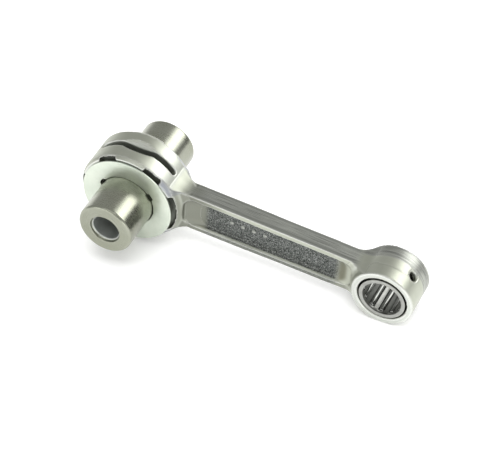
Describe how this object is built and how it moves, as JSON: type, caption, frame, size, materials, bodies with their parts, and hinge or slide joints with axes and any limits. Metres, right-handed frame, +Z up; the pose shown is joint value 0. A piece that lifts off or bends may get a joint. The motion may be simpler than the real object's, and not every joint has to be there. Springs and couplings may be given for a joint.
{
  "type": "connecting rod",
  "caption": "Two-stroke connecting rod kit: I-beam rod, hollow crank pin, silver thrust washers and caged needle bearings in both eyes.",
  "frame": {"origin": "bottom centre of the whole kit's box, on the plane it stands on", "axes": "+X from the big end to the small end, level with the ground; +Y along the crank pin, away from the front; +Z up. The rod stands on both eyes, so its own centre line falls 4.2 degrees towards the small end"},
  "size_m": [0.1372, 0.0532, 0.0401],
  "materials": {
    "rod": "forged and ground steel, bright on the machined eyes, dark and grainy in the web recess",
    "pin": "fine ground steel, satin",
    "washer": "silver plated, soft matt",
    "cage": "pale satin steel",
    "roller": "bright polished steel"
  },
  "bodies": {
    "connecting_rod": {"connecting_rod": "rod"},
    "crank_pin": {"crank_pin": "pin"},
    "thrust_washer_front": {"thrust_washer_front": "washer"},
    "thrust_washer_rear": {"thrust_washer_rear": "washer"},
    "big_end_cage": {"big_end_cage": "cage"},
    "big_end_roller_01": {"big_end_roller_01": "roller"},
    "big_end_roller_02": {"big_end_roller_02": "roller"},
    "big_end_roller_03": {"big_end_roller_03": "roller"},
    "big_end_roller_04": {"big_end_roller_04": "roller"},
    "big_end_roller_05": {"big_end_roller_05": "roller"},
    "big_end_roller_06": {"big_end_roller_06": "roller"},
    "big_end_roller_07": {"big_end_roller_07": "roller"},
    "big_end_roller_08": {"big_end_roller_08": "roller"},
    "big_end_roller_09": {"big_end_roller_09": "roller"},
    "big_end_roller_10": {"big_end_roller_10": "roller"},
    "big_end_roller_11": {"big_end_roller_11": "roller"},
    "big_end_roller_12": {"big_end_roller_12": "roller"},
    "big_end_roller_13": {"big_end_roller_13": "roller"},
    "big_end_roller_14": {"big_end_roller_14": "roller"},
    "small_end_cage": {"small_end_cage": "cage"},
    "small_end_roller_01": {"small_end_roller_01": "roller"},
    "small_end_roller_02": {"small_end_roller_02": "roller"},
    "small_end_roller_03": {"small_end_roller_03": "roller"},
    "small_end_roller_04": {"small_end_roller_04": "roller"},
    "small_end_roller_05": {"small_end_roller_05": "roller"},
    "small_end_roller_06": {"small_end_roller_06": "roller"},
    "small_end_roller_07": {"small_end_roller_07": "roller"},
    "small_end_roller_08": {"small_end_roller_08": "roller"},
    "small_end_roller_09": {"small_end_roller_09": "roller"},
    "small_end_roller_10": {"small_end_roller_10": "roller"},
    "small_end_roller_11": {"small_end_roller_11": "roller"},
    "small_end_roller_12": {"small_end_roller_12": "roller"}
  },
  "joints": [
    {"name": "crank_pin_turn", "type": "hinge", "parent": "connecting_rod", "child": "crank_pin", "pos_m": [-0.04853, 0.00082, 0.02006], "axis": [0, 1, 0], "continuous": true},
    {"name": "thrust_washer_front_slide", "type": "slide", "parent": "connecting_rod", "child": "thrust_washer_front", "axis": [0, -1, 0], "range_m": [0, 0.0165]},
    {"name": "thrust_washer_rear_slide", "type": "slide", "parent": "connecting_rod", "child": "thrust_washer_rear", "axis": [0, 1, 0], "range_m": [0, 0.0158]},
    {"name": "big_end_cage_turn", "type": "hinge", "parent": "connecting_rod", "child": "big_end_cage", "pos_m": [-0.04853, 0.00082, 0.02006], "axis": [0, 1, 0], "continuous": true},
    {"name": "big_end_roller_01_spin", "type": "hinge", "parent": "big_end_cage", "child": "big_end_roller_01", "pos_m": [-0.03581, 0.00082, 0.01912], "axis": [0, 1, 0], "continuous": true},
    {"name": "big_end_roller_02_spin", "type": "hinge", "parent": "big_end_cage", "child": "big_end_roller_02", "pos_m": [-0.03667, 0.00082, 0.02473], "axis": [0, 1, 0], "continuous": true},
    {"name": "big_end_roller_03_spin", "type": "hinge", "parent": "big_end_cage", "child": "big_end_roller_03", "pos_m": [-0.03987, 0.00082, 0.02942], "axis": [0, 1, 0], "continuous": true},
    {"name": "big_end_roller_04_spin", "type": "hinge", "parent": "big_end_cage", "child": "big_end_roller_04", "pos_m": [-0.04478, 0.00082, 0.03225], "axis": [0, 1, 0], "continuous": true},
    {"name": "big_end_roller_05_spin", "type": "hinge", "parent": "big_end_cage", "child": "big_end_roller_05", "pos_m": [-0.05044, 0.00082, 0.03266], "axis": [0, 1, 0], "continuous": true},
    {"name": "big_end_roller_06_spin", "type": "hinge", "parent": "big_end_cage", "child": "big_end_roller_06", "pos_m": [-0.05572, 0.00082, 0.03059], "axis": [0, 1, 0], "continuous": true},
    {"name": "big_end_roller_07_spin", "type": "hinge", "parent": "big_end_cage", "child": "big_end_roller_07", "pos_m": [-0.05958, 0.00082, 0.02642], "axis": [0, 1, 0], "continuous": true},
    {"name": "big_end_roller_08_spin", "type": "hinge", "parent": "big_end_cage", "child": "big_end_roller_08", "pos_m": [-0.06124, 0.00082, 0.021], "axis": [0, 1, 0], "continuous": true},
    {"name": "big_end_roller_09_spin", "type": "hinge", "parent": "big_end_cage", "child": "big_end_roller_09", "pos_m": [-0.06039, 0.00082, 0.01539], "axis": [0, 1, 0], "continuous": true},
    {"name": "big_end_roller_10_spin", "type": "hinge", "parent": "big_end_cage", "child": "big_end_roller_10", "pos_m": [-0.05719, 0.00082, 0.0107], "axis": [0, 1, 0], "continuous": true},
    {"name": "big_end_roller_11_spin", "type": "hinge", "parent": "big_end_cage", "child": "big_end_roller_11", "pos_m": [-0.05227, 0.00082, 0.00787], "axis": [0, 1, 0], "continuous": true},
    {"name": "big_end_roller_12_spin", "type": "hinge", "parent": "big_end_cage", "child": "big_end_roller_12", "pos_m": [-0.04661, 0.00082, 0.00745], "axis": [0, 1, 0], "continuous": true},
    {"name": "big_end_roller_13_spin", "type": "hinge", "parent": "big_end_cage", "child": "big_end_roller_13", "pos_m": [-0.04133, 0.00082, 0.00953], "axis": [0, 1, 0], "continuous": true},
    {"name": "big_end_roller_14_spin", "type": "hinge", "parent": "big_end_cage", "child": "big_end_roller_14", "pos_m": [-0.03748, 0.00082, 0.0137], "axis": [0, 1, 0], "continuous": true},
    {"name": "small_end_cage_turn", "type": "hinge", "parent": "connecting_rod", "child": "small_end_cage", "pos_m": [0.05623, 0.00082, 0.01214], "axis": [0, 1, 0], "continuous": true},
    {"name": "small_end_roller_01_spin", "type": "hinge", "parent": "small_end_cage", "child": "small_end_roller_01", "pos_m": [0.06466, 0.00082, 0.01152], "axis": [0, 1, 0], "continuous": true},
    {"name": "small_end_roller_02_spin", "type": "hinge", "parent": "small_end_cage", "child": "small_end_roller_02", "pos_m": [0.06384, 0.00082, 0.01582], "axis": [0, 1, 0], "continuous": true},
    {"name": "small_end_roller_03_spin", "type": "hinge", "parent": "small_end_cage", "child": "small_end_roller_03", "pos_m": [0.06098, 0.00082, 0.01913], "axis": [0, 1, 0], "continuous": true},
    {"name": "small_end_roller_04_spin", "type": "hinge", "parent": "small_end_cage", "child": "small_end_roller_04", "pos_m": [0.05685, 0.00082, 0.02057], "axis": [0, 1, 0], "continuous": true},
    {"name": "small_end_roller_05_spin", "type": "hinge", "parent": "small_end_cage", "child": "small_end_roller_05", "pos_m": [0.05256, 0.00082, 0.01975], "axis": [0, 1, 0], "continuous": true},
    {"name": "small_end_roller_06_spin", "type": "hinge", "parent": "small_end_cage", "child": "small_end_roller_06", "pos_m": [0.04925, 0.00082, 0.01689], "axis": [0, 1, 0], "continuous": true},
    {"name": "small_end_roller_07_spin", "type": "hinge", "parent": "small_end_cage", "child": "small_end_roller_07", "pos_m": [0.04781, 0.00082, 0.01276], "axis": [0, 1, 0], "continuous": true},
    {"name": "small_end_roller_08_spin", "type": "hinge", "parent": "small_end_cage", "child": "small_end_roller_08", "pos_m": [0.04863, 0.00082, 0.00847], "axis": [0, 1, 0], "continuous": true},
    {"name": "small_end_roller_09_spin", "type": "hinge", "parent": "small_end_cage", "child": "small_end_roller_09", "pos_m": [0.05148, 0.00082, 0.00515], "axis": [0, 1, 0], "continuous": true},
    {"name": "small_end_roller_10_spin", "type": "hinge", "parent": "small_end_cage", "child": "small_end_roller_10", "pos_m": [0.05561, 0.00082, 0.00371], "axis": [0, 1, 0], "continuous": true},
    {"name": "small_end_roller_11_spin", "type": "hinge", "parent": "small_end_cage", "child": "small_end_roller_11", "pos_m": [0.05991, 0.00082, 0.00453], "axis": [0, 1, 0], "continuous": true},
    {"name": "small_end_roller_12_spin", "type": "hinge", "parent": "small_end_cage", "child": "small_end_roller_12", "pos_m": [0.06322, 0.00082, 0.00739], "axis": [0, 1, 0], "continuous": true}
  ],
  "couplings": [
    {"joint": "big_end_cage_turn", "follows": "crank_pin_turn", "ratio": 0.43137},
    {"joint": "big_end_roller_01_spin", "follows": "crank_pin_turn", "ratio": -3.5742},
    {"joint": "big_end_roller_02_spin", "follows": "crank_pin_turn", "ratio": -3.5742},
    {"joint": "big_end_roller_03_spin", "follows": "crank_pin_turn", "ratio": -3.5742},
    {"joint": "big_end_roller_04_spin", "follows": "crank_pin_turn", "ratio": -3.5742},
    {"joint": "big_end_roller_05_spin", "follows": "crank_pin_turn", "ratio": -3.5742},
    {"joint": "big_end_roller_06_spin", "follows": "crank_pin_turn", "ratio": -3.5742},
    {"joint": "big_end_roller_07_spin", "follows": "crank_pin_turn", "ratio": -3.5742},
    {"joint": "big_end_roller_08_spin", "follows": "crank_pin_turn", "ratio": -3.5742},
    {"joint": "big_end_roller_09_spin", "follows": "crank_pin_turn", "ratio": -3.5742},
    {"joint": "big_end_roller_10_spin", "follows": "crank_pin_turn", "ratio": -3.5742},
    {"joint": "big_end_roller_11_spin", "follows": "crank_pin_turn", "ratio": -3.5742},
    {"joint": "big_end_roller_12_spin", "follows": "crank_pin_turn", "ratio": -3.5742},
    {"joint": "big_end_roller_13_spin", "follows": "crank_pin_turn", "ratio": -3.5742},
    {"joint": "big_end_roller_14_spin", "follows": "crank_pin_turn", "ratio": -3.5742},
    {"joint": "small_end_roller_01_spin", "follows": "small_end_cage_turn", "ratio": -8.0417},
    {"joint": "small_end_roller_02_spin", "follows": "small_end_cage_turn", "ratio": -8.0417},
    {"joint": "small_end_roller_03_spin", "follows": "small_end_cage_turn", "ratio": -8.0417},
    {"joint": "small_end_roller_04_spin", "follows": "small_end_cage_turn", "ratio": -8.0417},
    {"joint": "small_end_roller_05_spin", "follows": "small_end_cage_turn", "ratio": -8.0417},
    {"joint": "small_end_roller_06_spin", "follows": "small_end_cage_turn", "ratio": -8.0417},
    {"joint": "small_end_roller_07_spin", "follows": "small_end_cage_turn", "ratio": -8.0417},
    {"joint": "small_end_roller_08_spin", "follows": "small_end_cage_turn", "ratio": -8.0417},
    {"joint": "small_end_roller_09_spin", "follows": "small_end_cage_turn", "ratio": -8.0417},
    {"joint": "small_end_roller_10_spin", "follows": "small_end_cage_turn", "ratio": -8.0417},
    {"joint": "small_end_roller_11_spin", "follows": "small_end_cage_turn", "ratio": -8.0417},
    {"joint": "small_end_roller_12_spin", "follows": "small_end_cage_turn", "ratio": -8.0417}
  ]
}
